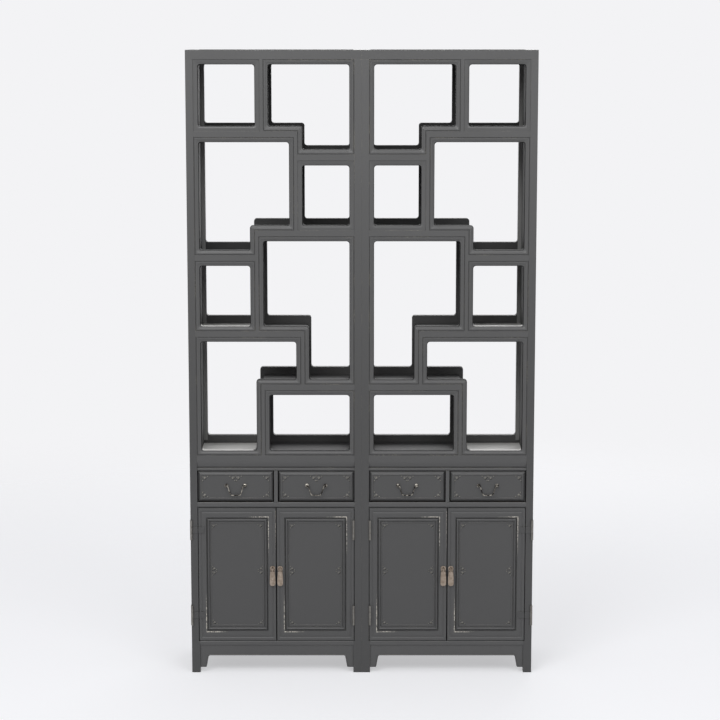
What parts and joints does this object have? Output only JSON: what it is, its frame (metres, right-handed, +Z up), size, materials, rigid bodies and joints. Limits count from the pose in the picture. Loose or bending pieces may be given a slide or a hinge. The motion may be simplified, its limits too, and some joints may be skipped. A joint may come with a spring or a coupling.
{
  "type": "chinese book cabinet",
  "caption": "Tall grey lacquered book cabinets standing side by side as mirror images, with stepped open lattice shelves above drawers and panelled doors.",
  "frame": {"origin": "on the floor, under the middle of the pair's bounding box", "axes": "+Z up, fronts face -Y, X = 0 is the plane where the two cabinets meet"},
  "size_m": [1.103, 0.302, 2],
  "materials": {
    "grey_lacquer": "satin grey lacquer",
    "drawer_wood": "bare wood, waxed",
    "brass": "aged, satin",
    "dark_brass": "darkened, satin"
  },
  "bodies": {
    "cabinets": {"left_posts": "grey_lacquer", "left_top_frame": "grey_lacquer", "left_front_lattice": "grey_lacquer", "left_back_lattice": "grey_lacquer", "left_shelf_boards": "grey_lacquer", "left_partitions": "grey_lacquer", "left_side_panels": "grey_lacquer", "left_front_rails": "grey_lacquer", "left_apron": "grey_lacquer", "left_back_panel": "grey_lacquer", "left_cupboard_boards": "grey_lacquer", "left_post_hinges": "brass", "right_posts": "grey_lacquer", "right_top_frame": "grey_lacquer", "right_front_lattice": "grey_lacquer", "right_back_lattice": "grey_lacquer", "right_shelf_boards": "grey_lacquer", "right_partitions": "grey_lacquer", "right_side_panels": "grey_lacquer", "right_front_rails": "grey_lacquer", "right_apron": "grey_lacquer", "right_back_panel": "grey_lacquer", "right_cupboard_boards": "grey_lacquer", "right_post_hinges": "brass"},
    "left_outer_door": {"left_outer_door_frame": "grey_lacquer", "left_outer_door_panel": "grey_lacquer", "left_outer_door_pull_plate": "brass", "left_outer_door_hinges": "brass"},
    "left_outer_pull": {"left_outer_door_pull_drop": "brass"},
    "left_outer_drawer": {"left_outer_drawer_front": "grey_lacquer", "left_outer_drawer_box": "drawer_wood", "left_outer_drawer_bail_posts": "dark_brass"},
    "left_outer_bail": {"left_outer_drawer_bail": "dark_brass"},
    "left_inner_door": {"left_inner_door_frame": "grey_lacquer", "left_inner_door_panel": "grey_lacquer", "left_inner_door_pull_plate": "brass", "left_inner_door_hinges": "brass"},
    "left_inner_pull": {"left_inner_door_pull_drop": "brass"},
    "left_inner_drawer": {"left_inner_drawer_front": "grey_lacquer", "left_inner_drawer_box": "drawer_wood", "left_inner_drawer_bail_posts": "dark_brass"},
    "left_inner_bail": {"left_inner_drawer_bail": "dark_brass"},
    "right_outer_door": {"right_outer_door_frame": "grey_lacquer", "right_outer_door_panel": "grey_lacquer", "right_outer_door_pull_plate": "brass", "right_outer_door_hinges": "brass"},
    "right_outer_pull": {"right_outer_door_pull_drop": "brass"},
    "right_outer_drawer": {"right_outer_drawer_front": "grey_lacquer", "right_outer_drawer_box": "drawer_wood", "right_outer_drawer_bail_posts": "dark_brass"},
    "right_outer_bail": {"right_outer_drawer_bail": "dark_brass"},
    "right_inner_door": {"right_inner_door_frame": "grey_lacquer", "right_inner_door_panel": "grey_lacquer", "right_inner_door_pull_plate": "brass", "right_inner_door_hinges": "brass"},
    "right_inner_pull": {"right_inner_door_pull_drop": "brass"},
    "right_inner_drawer": {"right_inner_drawer_front": "grey_lacquer", "right_inner_drawer_box": "drawer_wood", "right_inner_drawer_bail_posts": "dark_brass"},
    "right_inner_bail": {"right_inner_drawer_bail": "dark_brass"}
  },
  "joints": [
    {"name": "left_outer_door_hinge", "type": "hinge", "parent": "cabinets", "child": "left_outer_door", "pos_m": [-0.547, -0.1428, 0.332], "axis": [0, 0, -1], "range_deg": [0, 180]},
    {"name": "left_outer_pull_swing", "type": "hinge", "parent": "left_outer_door", "child": "left_outer_pull", "pos_m": [-0.28715, -0.1457, 0.3455], "axis": [-1, 0, 0], "range_deg": [0, 75]},
    {"name": "left_outer_drawer_slide", "type": "slide", "parent": "cabinets", "child": "left_outer_drawer", "axis": [0, -1, 0], "range_m": [0, 0.18]},
    {"name": "left_outer_bail_swing", "type": "hinge", "parent": "left_outer_drawer", "child": "left_outer_bail", "pos_m": [-0.404, -0.1478, 0.6185], "axis": [-1, 0, 0], "range_deg": [0, 90]},
    {"name": "left_inner_door_hinge", "type": "hinge", "parent": "cabinets", "child": "left_inner_door", "pos_m": [-0.027, -0.1428, 0.332], "axis": [0, 0, 1], "range_deg": [0, 80]},
    {"name": "left_inner_pull_swing", "type": "hinge", "parent": "left_inner_door", "child": "left_inner_pull", "pos_m": [-0.26285, -0.1457, 0.3455], "axis": [-1, 0, 0], "range_deg": [0, 75]},
    {"name": "left_inner_drawer_slide", "type": "slide", "parent": "cabinets", "child": "left_inner_drawer", "axis": [0, -1, 0], "range_m": [0, 0.18]},
    {"name": "left_inner_bail_swing", "type": "hinge", "parent": "left_inner_drawer", "child": "left_inner_bail", "pos_m": [-0.146, -0.1478, 0.6185], "axis": [-1, 0, 0], "range_deg": [0, 90]},
    {"name": "right_outer_door_hinge", "type": "hinge", "parent": "cabinets", "child": "right_outer_door", "pos_m": [0.547, -0.1428, 0.332], "axis": [0, 0, 1], "range_deg": [0, 180]},
    {"name": "right_outer_pull_swing", "type": "hinge", "parent": "right_outer_door", "child": "right_outer_pull", "pos_m": [0.28715, -0.1457, 0.3455], "axis": [-1, 0, 0], "range_deg": [0, 75]},
    {"name": "right_outer_drawer_slide", "type": "slide", "parent": "cabinets", "child": "right_outer_drawer", "axis": [0, -1, 0], "range_m": [0, 0.18]},
    {"name": "right_outer_bail_swing", "type": "hinge", "parent": "right_outer_drawer", "child": "right_outer_bail", "pos_m": [0.404, -0.1478, 0.6185], "axis": [-1, 0, 0], "range_deg": [0, 90]},
    {"name": "right_inner_door_hinge", "type": "hinge", "parent": "cabinets", "child": "right_inner_door", "pos_m": [0.027, -0.1428, 0.332], "axis": [0, 0, -1], "range_deg": [0, 80]},
    {"name": "right_inner_pull_swing", "type": "hinge", "parent": "right_inner_door", "child": "right_inner_pull", "pos_m": [0.26285, -0.1457, 0.3455], "axis": [-1, 0, 0], "range_deg": [0, 75]},
    {"name": "right_inner_drawer_slide", "type": "slide", "parent": "cabinets", "child": "right_inner_drawer", "axis": [0, -1, 0], "range_m": [0, 0.18]},
    {"name": "right_inner_bail_swing", "type": "hinge", "parent": "right_inner_drawer", "child": "right_inner_bail", "pos_m": [0.146, -0.1478, 0.6185], "axis": [-1, 0, 0], "range_deg": [0, 90]}
  ]
}
